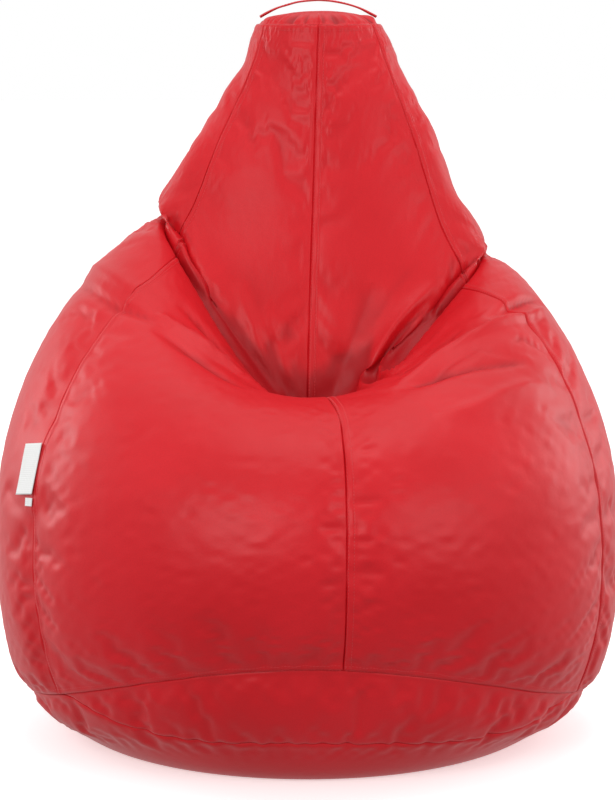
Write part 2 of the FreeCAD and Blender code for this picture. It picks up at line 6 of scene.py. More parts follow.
import json
import math

import bpy
import numpy as np
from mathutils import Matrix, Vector


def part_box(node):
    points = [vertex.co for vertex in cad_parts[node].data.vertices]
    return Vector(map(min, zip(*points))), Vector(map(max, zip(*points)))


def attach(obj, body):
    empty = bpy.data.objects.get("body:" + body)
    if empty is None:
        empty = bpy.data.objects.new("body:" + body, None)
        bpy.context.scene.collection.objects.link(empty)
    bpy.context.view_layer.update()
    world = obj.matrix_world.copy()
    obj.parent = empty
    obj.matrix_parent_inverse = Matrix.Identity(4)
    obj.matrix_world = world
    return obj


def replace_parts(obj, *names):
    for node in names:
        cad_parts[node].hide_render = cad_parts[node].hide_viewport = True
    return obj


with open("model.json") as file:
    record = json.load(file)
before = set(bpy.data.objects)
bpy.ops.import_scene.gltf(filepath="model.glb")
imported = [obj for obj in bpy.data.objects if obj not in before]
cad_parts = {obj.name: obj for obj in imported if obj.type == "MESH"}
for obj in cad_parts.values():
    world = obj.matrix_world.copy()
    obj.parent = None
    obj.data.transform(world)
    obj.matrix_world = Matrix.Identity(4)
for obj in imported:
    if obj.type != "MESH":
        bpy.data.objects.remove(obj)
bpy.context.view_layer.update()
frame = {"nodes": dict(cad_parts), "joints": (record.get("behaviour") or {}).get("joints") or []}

MM = 0.001
PI = math.pi
GORE = PI / 3
SEED = 11

# ---------------------------------------------------------------- shape of the filled bag
# Rings round the bag from the floor up, drawn in millimetres and scaled to the frame:
# front (y, z), left arm (x, y, z), right arm (x, y, z), rear (y, z), and how sharply the front dips.
RINGS = [
    ((-262, 0), (296, 50, 0), (300, 50, 0), (350, 0), 2.0),
    ((-336, 66), (350, 35, 24), (350, 35, 24), (398, 18), 1.8),
    ((-386, 172), (398, 25, 66), (396, 25, 64), (424, 50), 1.9),
    ((-418, 240), (424, 15, 150), (420, 15, 140), (438, 130), 1.9),
    ((-430, 325), (432, 15, 260), (432, 15, 250), (443, 260), 2.0),
    ((-402, 412), (420, 25, 400), (422, 25, 400), (436, 420), 2.0),
    ((-330, 484), (376, 60, 522), (378, 55, 530), (410, 570), 2.0),
    ((-235, 508), (318, 115, 612), (312, 110, 634), (386, 680), 2.0),
    ((-120, 470), (276, 150, 650), (244, 155, 700), (370, 745), 1.6),
    ((20, 440), (244, 165, 660), (212, 168, 718), (362, 770), 1.3),
    ((46, 500), (258, 172, 672), (226, 175, 732), (358, 795), 1.5),
    ((80, 600), (216, 185, 742), (198, 188, 780), (352, 840), 2.0),
    ((120, 760), (172, 210, 842), (163, 212, 845), (347, 895), 2.0),
    ((148, 890), (125, 235, 930), (112, 235, 930), (345, 945), 2.0),
    ((167, 990), (88, 255, 990), (88, 255, 990), (343, 990), 2.0),
]
FLOOR, BASE_SEAM, BELLY_TOP, WAIST, CAP_SEAM = 0, 2, 6, 9, len(RINGS) - 1
FRONT, LEFT_ARM, RIGHT_ARM, REAR = (np.array([r[k] for r in RINGS], float) for k in range(4))
DIP = np.array([r[4] for r in RINGS])
DRAWN = np.array([863.9, 873.0, 990.4])
BELLY_TWIST = math.radians(9)
TWIST_TOWARDS = math.radians(50)
CAP_LEAN = 15.6 * MM
LEAN_POWER = 1.2


def measure_bag():
    """Metres to a drawn millimetre along each axis, from the panels of the frame."""
    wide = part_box("side_left_panel")[1].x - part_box("side_right_panel")[0].x
    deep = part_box("back_left_panel")[1].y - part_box("front_left_panel")[0].y
    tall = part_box("top_cap")[0].z
    return np.array([wide, deep, tall]) / DRAWN


SCALE = measure_bag()
CAP_HEIGHT = RINGS[-1][0][1] * SCALE[2]
ZIP_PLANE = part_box("zip_tape_left")[1].y + 1.5 * MM
ZIP_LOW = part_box("zip_teeth_left")[0].z
ZIP_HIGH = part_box("zip_teeth_left")[1].z
ZIP_END_ROOM = 16 * MM
ZIP_FLAT_ANGLE = math.radians(16)
ZIP_HALF_OPENING = 8 * MM


def smooth(t):
    """Eased step from 0 to 1: 3t squared less 2t cubed."""
    t = np.clip(t, 0, 1)
    return t * t * (3 - 2 * t)


def unit(vectors):
    """Vectors divided by their lengths."""
    return vectors / np.maximum(np.linalg.norm(vectors, axis=-1, keepdims=True), 1e-12)


def ring_point(ring, angle):
    """Quarter ellipses between a ring's key points: x = arm sin a, y and z move from arm to end with |cos a|."""
    ring = np.clip(ring, FLOOR, CAP_SEAM)
    s, c = np.sin(angle), np.cos(angle)
    arm = np.where((s >= 0)[..., None], LEFT_ARM[ring], RIGHT_ARM[ring])
    end = np.where((c >= 0)[..., None], FRONT[ring], REAR[ring])
    share = np.where(c >= 0, 1 - np.abs(s) ** DIP[ring], c * c)
    y = arm[..., 1] + (end[..., 0] - arm[..., 1]) * np.abs(c)
    z = arm[..., 2] + (end[..., 1] - arm[..., 2]) * share
    return np.stack([arm[..., 0] * s, y, z], -1) * SCALE


def ring_slope(ring, angle):
    """Half the step between the neighbouring rings; level at the floor, and the last whole step at the cap."""
    step = ring_point(ring + 1, angle) - ring_point(ring - 1, angle)
    at_floor, at_cap = (ring == FLOOR)[..., None], (ring == CAP_SEAM)[..., None]
    return np.where(at_floor, step * (1, 1, 0), step * np.where(at_cap, 1.0, 0.5))


def seam_twist(level, angle):
    """The belly's seams are pulled round towards the sitter's left; the zip's seam at the rear isn't."""
    turn = (angle + PI) % (2 * PI) - PI
    lobe = np.abs(np.cos((turn - TWIST_TOWARDS) / 2)) ** 3 * (1 - (turn / PI) ** 4)
    return BELLY_TWIST * lobe * smooth(1 - (level - BELLY_TOP) / (WAIST - BELLY_TOP))


def beside_zip(height, run):
    """1 along the zip and its end stops, easing to 0 over a run beyond them."""
    below = smooth(1 - (ZIP_LOW - ZIP_END_ROOM - height) / run)
    return below * smooth(1 - (height - ZIP_HIGH - ZIP_END_ROOM) / run)


def bag_point(level, angle):
    """The bag's smooth outside: a cubic through the rings at one angle, leaning to the left, flat along the zip."""
    level, angle = np.broadcast_arrays(np.asarray(level, float), np.asarray(angle, float))
    turned = angle + seam_twist(level, angle)
    ring = np.clip(level.astype(int), FLOOR, CAP_SEAM - 1)
    u = (level - ring)[..., None]
    p = (
        ring_point(ring, turned) * (2 * u**3 - 3 * u**2 + 1)
        + ring_slope(ring, turned) * (u**3 - 2 * u**2 + u)
        + ring_point(ring + 1, turned) * (3 * u**2 - 2 * u**3)
        + ring_slope(ring + 1, turned) * (u**3 - u**2)
    )
    rise = np.clip(p[..., 2] / CAP_HEIGHT * 2 - 1, 0, None)
    p[..., 0] += CAP_LEAN * rise**LEAN_POWER
    off = np.abs(angle % (2 * PI) - PI) / ZIP_FLAT_ANGLE
    p[..., 1] += (ZIP_PLANE - p[..., 1]) * smooth(1 - off) * beside_zip(p[..., 2], 60 * MM)
    return p


def bag_axes(level, angle):
    """Change of the smooth bag per ring and per radian, and its outward unit normal, by differences."""
    step = 0.01
    low, high = np.maximum(level - step, FLOOR), np.minimum(level + step, CAP_SEAM)
    up = (bag_point(high, angle) - bag_point(low, angle)) / (high - low)[..., None]
    along = (bag_point(level, angle + step) - bag_point(level, angle - step)) / (2 * step)
    return up, along, unit(np.cross(along, up))


# ---------------------------------------------------------------- folds of the loose cover
# Each fold: points (turn in degrees from the front towards +X, level), height, and the width of its two flanks in
# millimetres. A negative height is a crease.
FOLDS = [
    ("left_crease", [
        (-90, 9.0), (-72, 9.0), (-60, 9.0), (-50, 9.0), (-42, 8.95), (-31, 8.85), (-22, 8.75),
        (-10, 8.6),
    ], -20, 8, 11),
    ("left_ridge", [(-50, 7.5), (-40, 7.67), (-32, 7.77), (-23, 7.85), (-12, 7.6)], 15, 8, 9),
    ("left_hollow", [(-47, 7.3), (-35, 7.4), (-27, 7.35), (-17, 7.1)], -10, 10, 12),
    ("left_inner_hollow", [(-48, 8.0), (-38, 8.15), (-28, 8.2), (-16, 8.0)], -9, 9, 9),
    ("left_arm_crease", [
        (-96, 6.8), (-80, 6.92), (-67, 7.05), (-60, 7.15), (-53, 7.3), (-44, 7.5),
    ], -9, 7, 12),
    ("left_arm_ridge", [(-96, 7.05), (-80, 7.2), (-66, 7.35), (-55, 7.55)], 6, 14, 8),
    ("right_crease", [
        (84, 9.0), (66, 9.0), (56, 9.0), (45, 8.95), (35, 8.8), (27, 8.6), (14, 8.4),
    ], -20, 8, 10),
    ("outer_loop", [
        (46, 10.35), (35, 10.3), (28, 10.15), (23, 9.85), (20.5, 9.4), (18, 8.6), (16, 7.8),
        (19, 7.2),
    ], 12, 8, 10),
    ("outer_return", [
        (12, 6.85), (22, 7.1), (30, 7.3), (38, 7.28), (50, 7.15), (63, 6.9), (76, 6.7),
    ], 12, 8, 8),
    ("inner_loop", [
        (42, 10.0), (33, 9.7), (28, 9.25), (25, 8.8), (23, 8.3), (25, 8.0), (30, 8.1), (36, 8.2),
        (46, 8.2),
    ], 10, 5, 5),
    ("loop_groove", [
        (38, 10.1), (28, 9.8), (23.5, 9.3), (21, 8.6), (20.5, 7.9), (25, 7.65), (32, 7.72),
        (44, 7.7),
    ], -8, 5, 5),
    ("right_arm_hollow", [(50, 7.4), (60, 7.3), (68, 7.1), (78, 6.85)], -11, 6, 14),
    ("backrest_hollow", [(24, 11.0), (16, 10.5), (11, 10.0), (8, 9.5), (6, 9)], -9, 24, 20),
    ("back_fold_left", [(-30, 10.8), (-22, 10.4), (-16, 9.9), (-11, 9.3), (-8, 8.8)], 5, 9, 9),
    ("back_fold_right", [(-18, 10.8), (-12, 10.4), (-8, 10.0), (-3, 9.6), (-1, 9)], 4, 8, 8),
    ("lip_ridge", [(18, 6.0), (26, 6.0), (33, 6.08), (40, 6.1), (50, 6.02)], 8, 10, 20),
    ("lip_hollow", [(16, 6.75), (24, 6.8), (32, 6.72), (41, 6.5), (48, 6.35)], -8, 12, 9),
    ("right_seat_hollow", [(14, 7.0), (22, 6.85), (30, 7.0), (40, 7.0)], -6, 8, 8),
]


def fold_track(points):
    """A fold's line on the bag: a smooth curve through its points, each pair of points joined by a cubic."""
    turn, level = np.array(points, float).T
    places = np.linspace(0, len(points) - 1, 8 * (len(points) - 1) + 1)
    slopes = [np.gradient(values) for values in (turn, level)]
    i = np.minimum(places.astype(int), len(points) - 2)
    u = places - i
    curve = [
        v[i] * (2 * u**3 - 3 * u**2 + 1) + g[i] * (u**3 - 2 * u**2 + u)
        + v[i + 1] * (3 * u**2 - 2 * u**3) + g[i + 1] * (u**3 - u**2)
        for v, g in zip((turn, level), slopes)
    ]
    return bag_point(curve[1], np.radians(curve[0]))


def fold_relief(points, normals):
    """Sum of the folds: each is its height times exp(-(distance / flank) ** 1.6), fading out towards its ends."""
    flat, facing = points.reshape(-1, 3), normals.reshape(-1, 3)
    relief = np.zeros(len(flat))
    for _, path, height, upper, lower in FOLDS:
        track, reach = fold_track(path), 3 * max(upper, lower) * MM
        near = np.all((flat > track.min(0) - reach) & (flat < track.max(0) + reach), axis=1)
        p, n = flat[near], facing[near]
        best, along, side = np.full(len(p), 1e9), np.zeros(len(p)), np.zeros(len(p))
        for k, (a, b) in enumerate(zip(track[:-1], track[1:])):
            t = np.clip((p - a) @ (b - a) / ((b - a) @ (b - a)), 0, 1)
            away = p - a - t[:, None] * (b - a)
            distance = np.linalg.norm(away, axis=1)
            closer = distance < best
            across = np.einsum("ij,ij->i", np.cross(b - a, n), away)
            best, along = np.where(closer, distance, best), np.where(closer, k + t, along)
            side = np.where(closer, across, side)
        flank = np.where(side > 0, lower, upper) * MM
        share = along / (len(track) - 1)
        fade = np.sin(PI * np.clip(share, 0, 1)) ** 0.6
        relief[near] += height * MM * fade * np.exp(-((best / flank) ** 1.6))
    return relief.reshape(points.shape[:-1])


# ---------------------------------------------------------------- how the sewn cover settles on its filling
SIM_ROWS, SIM_COLUMNS, SIM_FRAMES = 150, 216, 18
SIM_CAP = 8 * MM
SIM_LEVELS = np.linspace(0.6, CAP_SEAM, SIM_ROWS)


def near_seam(level, angle, along, reach):
    """1 on a gore seam or the base seam, fading to 0 over a reach in metres."""
    turn = (angle + GORE / 2) % GORE - GORE / 2
    gore_seam = np.exp(-((turn * np.linalg.norm(along, axis=-1) / reach) ** 2)) * (level > BASE_SEAM)
    return np.maximum(gore_seam, np.exp(-(((level - BASE_SEAM) / 0.12) ** 2)))


def settle_cover():
    """Cloth simulation of the whole cover: cut a little large, gathered into its seams, and blown out by its filling.

    Gives how far each point of a grid of levels and angles moves, without the broad swelling, capped. Both ends and
    the waist's fold are held. The seams are drawn together.
    """
    angle = np.arange(SIM_COLUMNS)[None] / SIM_COLUMNS * 2 * PI
    level, angle = np.broadcast_arrays(SIM_LEVELS[:, None], angle)
    start = bag_point(level, angle)
    _, along, normal = bag_axes(level, angle)
    jitter = np.random.default_rng(SEED).normal(0, 0.4 * MM, level.shape)
    points = start + normal * jitter[..., None]
    mesh = bpy.data.meshes.new("settling_cover")
    mesh.from_pydata(points.reshape(-1, 3).tolist(), [], grid_quads(*level.shape, closed=True).tolist())
    cover = bpy.data.objects.new("settling_cover", mesh)
    bpy.context.scene.collection.objects.link(cover)
    seam = near_seam(level, angle, along, 12 * MM)
    fold = np.exp(-(((level - WAIST) / 0.45) ** 2))
    ends = np.maximum(smooth((1.2 - level) / 0.6), smooth((level - CAP_SEAM + 0.35) / 0.3))
    held = np.clip(np.maximum(ends, 0.85 * fold), 0, 1)
    for name, weights in (("held", held), ("gathered", seam)):
        group = cover.vertex_groups.new(name=name)
        for step in range(21):
            chosen = np.flatnonzero(np.round(weights.ravel() * 20).astype(int) == step)
            group.add(chosen.tolist(), step / 20, "REPLACE")
    cloth = cover.modifiers.new("settle", "CLOTH")
    settings = cloth.settings
    settings.quality, settings.mass, settings.air_damping = 5, 0.35, 2.0
    settings.tension_stiffness = settings.compression_stiffness = 18
    settings.shear_stiffness, settings.bending_stiffness = 6, 1.2
    settings.use_pressure, settings.uniform_pressure_force = True, 4.0
    settings.vertex_group_mass, settings.pin_stiffness = "held", 1.0
    settings.vertex_group_shrink, settings.shrink_min, settings.shrink_max = "gathered", -0.022, 0.03
    settings.effector_weights.gravity = 0
    cloth.collision_settings.use_collision = False
    for number in range(1, SIM_FRAMES + 1):
        bpy.context.scene.frame_set(number)
    settled = cover.evaluated_get(bpy.context.evaluated_depsgraph_get())
    moved = np.zeros(points.size, np.float32)
    settled.data.vertices.foreach_get("co", moved)
    shift = moved.reshape(points.shape) - start
    bpy.context.scene.frame_set(1)
    bpy.data.objects.remove(cover)
    outwards = np.einsum("ijk,ijk->ij", shift, normal)
    shift -= (0.85 * spread_out(outwards, 9))[..., None] * normal
    length = np.linalg.norm(shift, axis=-1, keepdims=True)
    shift *= SIM_CAP * np.tanh(length / SIM_CAP) / np.maximum(length, 1e-9)
    return shift * slack_share(level, angle)[..., None]


SEAT_CALM, ZIP_CALM, BACKREST_CALM = 0.72, 0.9, 0.4  # share of the slack taken out of each place


def slack_share(level, angle):
    """How much of the simulated slack is kept: little beside the zip and in the seat's folds, less up the backrest."""
    turn = np.abs((angle + PI) % (2 * PI) - PI)
    front = smooth((math.radians(92) - turn) / math.radians(20))
    seat = front * smooth((level - 6.7) / 0.6) * smooth((10.5 - level) / 0.7)
    zip_side = smooth((turn - math.radians(160)) / math.radians(8)) * smooth((7.6 - level) / 0.6)
    backrest = smooth((level - 10) / 0.8)
    return (1 - SEAT_CALM * seat) * (1 - ZIP_CALM * zip_side) * (1 - BACKREST_CALM * backrest)


def spread_out(values, reach):
    """The mean of a closed grid's values over a square of cells reaching that far each way, twice over."""
    for _ in range(2):
        rows = np.pad(values, ((reach, reach), (0, 0)), mode="edge")
        values = sum(rows[k:k + values.shape[0]] for k in range(2 * reach + 1)) / (2 * reach + 1)
        values = sum(np.roll(values, k, axis=1) for k in range(-reach, reach + 1)) / (2 * reach + 1)
    return values


def settled_shift(level, angle):
    """The simulated shift at any level and angle, by a bicubic through the grid's sixteen nearest points."""
    row = np.interp(level, SIM_LEVELS, np.arange(SIM_ROWS))
    column = angle % (2 * PI) / (2 * PI) * SIM_COLUMNS
    i, j = np.floor(row).astype(int), np.floor(column).astype(int)
    total = 0

    def weights(u):
        return (
            -0.5 * u + u**2 - 0.5 * u**3, 1 - 2.5 * u**2 + 1.5 * u**3,
            0.5 * u + 2 * u**2 - 1.5 * u**3, -0.5 * u**2 + 0.5 * u**3,
        )

    for a, up in enumerate(weights(row - i)):
        for b, along in enumerate(weights(column - j)):
            at = SETTLED[np.clip(i + a - 1, 0, SIM_ROWS - 1), (j + b - 1) % SIM_COLUMNS]
            total = total + at * (up * along)[..., None]
    return total * smooth((level - SIM_LEVELS[0]) / 0.5)[..., None]


def grid_quads(rows, columns, closed=False):
    """Quads of a grid whose rows run up and whose columns run round to the right, seen from outside."""
    index = np.arange(rows * columns).reshape(rows, columns)
    if closed:
        index = np.hstack([index, index[:, :1]])
    corners = index[:-1, :-1], index[:-1, 1:], index[1:, 1:], index[1:, :-1]
    return np.stack(corners, -1).reshape(-1, 4)


SETTLED = settle_cover()

# ---------------------------------------------------------------- seams
GORE_SEAMS = np.arange(6) * GORE
ZIP_SEAM = 3
STITCH_NEAR, STITCH_FAR = 2.0 * MM, 9.5 * MM  # the two topstitch lines of a felled seam, from its groove


def chord_level(angle):
    """The level of the base's chord seams: the base seam at the gore seams each side, lower between them."""
    turn = (angle + PI / 2) % PI - PI / 2
    share = np.minimum(np.abs(turn) / GORE, 1)
    return BASE_SEAM - (1 - share**4) ** 1.5


def wander(place, wave, seed):
    """A smooth random line between -1 and 1 along a place in metres, with bumps about one wave apart."""
    knots = np.random.default_rng(SEED + seed).uniform(-1, 1, 400)
    at = np.clip(np.asarray(place) / wave + 20, 0, 398)
    i = at.astype(int)
    return knots[i] + (knots[i + 1] - knots[i]) * smooth(at - i)


def felled_seam(across):
    """Relief over a felled seam: a groove at 0, a raised band over its allowance, and a dimple under each stitch line."""
    groove = -1.7 * MM * np.exp(-((across / (1.3 * MM)) ** 2))
    band = 0.9 * MM * smooth(across / (1.5 * MM)) * smooth((12.5 * MM - across) / (3 * MM))
    near = -0.55 * MM * np.exp(-(((across - STITCH_NEAR) / (0.9 * MM)) ** 2))
    far = -0.75 * MM * np.exp(-(((across - STITCH_FAR) / (1.1 * MM)) ** 2))
    return groove + band + near + far


def plain_seam(across):
    """Relief over a plain seam: a groove with softly rolled edges."""
    distance = np.abs(across)
    return -2.2 * MM * np.exp(-distance / (1.6 * MM)) + 0.5 * MM * np.exp(-((distance / (6 * MM) - 1) ** 2))


def puckers(across, place, seed):
    """Little waves square to a seam, each side its own, fading with distance from it."""
    side = np.where(across > 0, 1, -1)
    fine = np.where(side > 0, wander(place, 11 * MM, seed), wander(place, 12 * MM, seed + 1))
    broad = np.where(side > 0, wander(place, 26 * MM, seed + 2), wander(place, 24 * MM, seed + 3))
    strength = 0.55 + 0.45 * wander(place, 110 * MM, seed + 4)
    distance = np.abs(across)
    near = 0.5 * MM * fine * np.exp(-distance / (13 * MM))
    wide = 1.5 * MM * broad * np.exp(-((distance / (42 * MM)) ** 1.5))
    return strength * (near + wide) * smooth(distance / (3 * MM) + 0.25)


def seam_relief(level, angle, up, along, point):
    """All the seams at once: gore seams above the base seam, the base seam, the chords and the cap seam."""
    per_ring, per_radian = np.linalg.norm(up, axis=-1), np.linalg.norm(along, axis=-1)
    relief = np.zeros(level.shape)
    upwards = point[..., 2] + 0.35 * point[..., 1]
    above_base = smooth((level - BASE_SEAM) * per_ring / (4 * MM))
    for k, seam in enumerate(GORE_SEAMS):
        turn = (angle - seam + PI) % (2 * PI) - PI
        across = turn * per_radian
        close = np.abs(across) < 0.16
        zip_here = 1 - beside_zip(point[..., 2], 20 * MM) * (k == ZIP_SEAM) * (level < WAIST)
        profile = plain_seam if k == ZIP_SEAM else felled_seam
        seam_here = profile(across) + puckers(across, upwards, 10 * k)
        relief += np.where(close, seam_here * zip_here * above_base, 0)
    round_bag = angle * 0.4
    base_across = (level - BASE_SEAM) * per_ring
    relief += np.where(np.abs(base_across) < 0.1, felled_seam(base_across) + 0.6 * puckers(base_across, round_bag, 80), 0)
    chord_across = (level - chord_level(angle)) * per_ring
    on_chord = np.abs((angle + PI / 2) % PI - PI / 2) < GORE
    relief += np.where(on_chord & (np.abs(chord_across) < 0.05), plain_seam(chord_across), 0)
    cap_across = (CAP_SEAM - level) * per_ring
    relief += np.where(cap_across < 0.1, felled_seam(cap_across) + 0.5 * puckers(cap_across, round_bag, 90), 0)
    return relief


def under_labels(point):
    """1 where the cover lies under the labels, fading to 0 away from them."""
    calm = 0
    for node, reach in (("side_label", 40 * MM), ("size_tag", 20 * MM)):
        low, high = (np.array(corner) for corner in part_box(node))
        outside = np.linalg.norm(np.maximum(np.maximum(low - point, point - high), 0), axis=-1)
        calm = np.maximum(calm, smooth(1 - outside / reach))
    return calm


def cover_point(level, angle):
    """The cover's finished outside: the smooth bag pushed out along its normal by folds and seams."""
    level, angle = np.broadcast_arrays(np.asarray(level, float), np.asarray(angle, float))
    point = bag_point(level, angle)
    up, along, normal = bag_axes(level, angle)
    relief = fold_relief(point, normal) + seam_relief(level, angle, up, along, point)
    free = 1 - under_labels(point)
    relief *= smooth((level - 0.15) / 0.8) * np.where(relief > 0, free, 1)
    out = point + normal * relief[..., None] + settled_shift(level, angle) * free[..., None]
    out[..., 2] = np.maximum(out[..., 2], 0)
    return out


# ---------------------------------------------------------------- shader maths
class Value:
    """A number that varies over a surface. Python's operators on it add Math nodes."""

    def __init__(self, finish, socket):
        self.finish, self.socket = finish, socket

    def math(self, operation, first, second=0.0):
        node = self.finish.node("ShaderNodeMath", {"operation": operation}, {0: first, 1: second})
        return Value(self.finish, node.outputs[0])

    def __add__(self, other):
        return self.math("ADD", self, other)

    def __mul__(self, other):
        return self.math("MULTIPLY", self, other)

    def __sub__(self, other):
        return self.math("SUBTRACT", self, other)

    def __rsub__(self, other):
        return self.math("SUBTRACT", other, self)

    def __truediv__(self, other):
        return self.math("DIVIDE", self, other)

    def __pow__(self, other):
        return self.math("POWER", self, other)

    __radd__ = __add__
    __rmul__ = __mul__


class Finish:
    """A material with one shader. Constants are set on the shader's own sockets."""

    def __init__(self, name, **constants):
        self.material = bpy.data.materials.new(name)
        self.material.use_nodes = True
        self.tree = self.material.node_tree
        self.shader = self.tree.nodes["Principled BSDF"]
        for socket, value in constants.items():
            self.shader.inputs[socket.replace("_", " ")].default_value = value
        self.object_place = self.node("ShaderNodeTexCoord").outputs["Object"]

    def node(self, kind, settings=(), inputs=()):
        """A node of any type: its settings first, a ramp's stops among them, then the values or links of its inputs."""
        made = self.tree.nodes.new(kind)
        for name, value in dict(settings).items():
            if name == "stops":
                for element, (position, shade) in zip(made.color_ramp.elements, value):
                    element.position, element.color = position, (*(shade,) * 3, 1)
            else:
                setattr(made, name, value)
        for name, value in dict(inputs).items():
            self.feed(made.inputs[name], value)
        return made

    def feed(self, socket, value):
        if isinstance(value, Value):
            value = value.socket
        if isinstance(value, bpy.types.NodeSocket):
            self.tree.links.new(value, socket)
        else:
            socket.default_value = value

    def noise(self, scale, detail=3.0, rough=0.5, place=None):
        """Cloudy noise from 0 to 1, its scale in features per metre."""
        inputs = {"Vector": place or self.object_place, "Scale": scale, "Detail": detail, "Roughness": rough}
        return Value(self, self.node("ShaderNodeTexNoise", {}, inputs).outputs[0])

    def cells(self, scale, place=None, feature="F1"):
        """Distance to the nearest cell's middle, its scale in cells per metre."""
        inputs = {"Vector": place or self.object_place, "Scale": scale}
        return Value(self, self.node("ShaderNodeTexVoronoi", {"feature": feature}, inputs).outputs["Distance"])

    def step(self, value, low, high):
        """Eased from 0 at low to 1 at high."""
        settings = {"interpolation_type": "SMOOTHSTEP"}
        node = self.node("ShaderNodeMapRange", settings, {"Value": value, "From Min": low, "From Max": high})
        return Value(self, node.outputs["Result"])

    def stripes(self, scale, along, waver, place=None):
        """Fine ridges across a direction, that many radians per metre, with a waver that bends them."""
        inputs = {0: place or self.object_place, 1: along}
        turned = self.node("ShaderNodeVectorMath", {"operation": "DOT_PRODUCT"}, inputs)
        phase = Value(self, turned.outputs["Value"]) * scale + self.noise(220, 2, place=place) * waver
        return self.math_of("SINE", phase) * 0.5 + 0.5

    def math_of(self, operation, value):
        """One Math node of one value."""
        return Value(self, self.node("ShaderNodeMath", {"operation": operation}, {0: value}).outputs[0])

    def uv_place(self):
        """The piece's own flat map, in metres."""
        return self.node("ShaderNodeUVMap", {"uv_map": "flat"}).outputs[0]

    def painted(self, name):
        """A piece's own float attribute."""
        return Value(self, self.node("ShaderNodeAttribute", {"attribute_name": name}).outputs["Fac"])

    def mix(self, share, first, second):
        """A colour between two colours."""
        inputs = {0: share, 6: first, 7: second}
        return self.node("ShaderNodeMix", {"data_type": "RGBA"}, inputs).outputs[2]

    def bump(self, height, distance, strength=1.0, normal=None):
        """A bump of height 0 to 1 times a distance in metres."""
        inputs = {"Height": height, "Distance": distance, "Strength": strength}
        if normal is not None:
            inputs["Normal"] = normal
        return self.node("ShaderNodeBump", {}, inputs).outputs[0]

    def wear(self, **sockets):
        """Links what varies to the shader: Base_Color, Roughness, Metallic, Normal."""
        for name, value in sockets.items():
            self.feed(self.shader.inputs[name.replace("_", " ")], value)
        return self.material


def leatherette():
    """Red coated cloth: fine pebbled grain, softly clouded sheen, and painted shade deepening the colour in the folds.
    """
    finish = Finish("leatherette", IOR=1.36, Coat_Weight=0.04, Coat_Roughness=0.3)
    clouds = finish.noise(5, 4)
    pebbles = finish.cells(820, feature="SMOOTH_F1")
    creases = finish.noise(260, 3, 0.6)
    pores = finish.noise(1900, 2)
    # Painted shade: how deep each point lies in a fold, gather or pleat, read from the piece.
    tucked = finish.painted("tucked")
    colour = finish.mix(finish.step(clouds, 0.3, 0.72), (0.62, 0.006, 0.012, 1), (0.70, 0.010, 0.018, 1))
    colour = finish.mix(finish.step(pebbles, 0.25, 0.7) * 0.16, colour, (0.40, 0.006, 0.012, 1))
    # Painted shade: the red darkens deep in folds, gathers and pleats, where shade falls.
    colour = finish.mix(tucked * 0.8, colour, (0.34, 0.002, 0.006, 1))
    rough = 0.36 + clouds * 0.08 + creases * 0.05 + tucked * 0.08
    grain = finish.bump(1 - pebbles * 0.9 + creases * 0.5 + pores * 0.2, 0.00016, 0.7)
    dents = finish.bump(finish.noise(46, 3), 0.0009, 0.5, grain)
    return finish.wear(Base_Color=colour, Roughness=rough, Normal=dents)


def thread():
    """Twisted polyester thread, a shade brighter than the cover."""
    finish = Finish("thread", Sheen_Weight=0.2, Sheen_Roughness=0.4)
    plies = finish.noise(2600, 2)
    colour = finish.mix(plies, (0.52, 0.010, 0.016, 1), (0.80, 0.045, 0.055, 1))
    grain = finish.bump(plies, 0.0002, 0.6)
    return finish.wear(Base_Color=colour, Roughness=0.45 + plies * 0.2, Normal=grain)


def zip_web():
    """Woven zip tape: a fine twill in the cover's red, a little duller."""
    finish = Finish("zip_web", Sheen_Weight=0.15, Sheen_Roughness=0.5)
    twill = finish.stripes(1500, (0, 0, 1), 2.0) * 0.5 + finish.stripes(1100, (1, 0, 0.6), 1.0) * 0.5
    colour = finish.mix(twill, (0.24, 0.006, 0.010, 1), (0.46, 0.014, 0.020, 1))
    grain = finish.bump(twill, 0.0003, 0.7)
    return finish.wear(Base_Color=colour, Roughness=0.62 + twill * 0.2, Normal=grain)


def moulded_teeth():
    """Acetal zip teeth in dark red, glossy where the slider has polished them."""
    finish = Finish("moulded_teeth", IOR=1.49)
    rub = finish.step(finish.noise(300, 3), 0.35, 0.7)
    colour = finish.mix(rub, (0.30, 0.008, 0.012, 1), (0.42, 0.016, 0.020, 1))
    grain = finish.bump(finish.noise(1400), 0.0001, 0.4)
    return finish.wear(Base_Color=colour, Roughness=0.42 - rub * 0.16, Normal=grain)


def nickel():
    """Plated zinc of the slider and pull: brushed along its length, with darker rubbed spots."""
    finish = Finish("nickel", Metallic=1.0)
    brushed = finish.stripes(2600, (1, 0.2, 0), 6.0)
    spots = finish.step(finish.noise(180, 4), 0.5, 0.75)
    colour = finish.mix(spots, (0.62, 0.61, 0.59, 1), (0.40, 0.38, 0.36, 1))
    return finish.wear(Base_Color=colour, Roughness=0.22 + brushed * 0.12 + spots * 0.15,
                       Normal=finish.bump(brushed, 0.00005, 0.4))


def woven_label():
    """White satin label cloth, woven fine along its own width and height."""
    finish = Finish("woven_label", Sheen_Weight=0.2, Sheen_Roughness=0.4)
    across = finish.uv_place()
    weft = finish.stripes(2400, (0, 1, 0), 0.6, across)
    warp = finish.stripes(1600, (1, 0, 0), 0.6, across)
    weave = weft * 0.6 + warp * 0.4
    grime = finish.step(finish.noise(60, 4), 0.45, 0.8)
    colour = finish.mix(weave * 0.5, (0.90, 0.90, 0.89, 1), (0.74, 0.74, 0.73, 1))
    colour = finish.mix(grime * 0.35, colour, (0.80, 0.77, 0.72, 1))
    grain = finish.bump(weave, 0.00025, 0.7)
    return finish.wear(Base_Color=colour, Roughness=0.55 + weave * 0.2, Normal=grain)


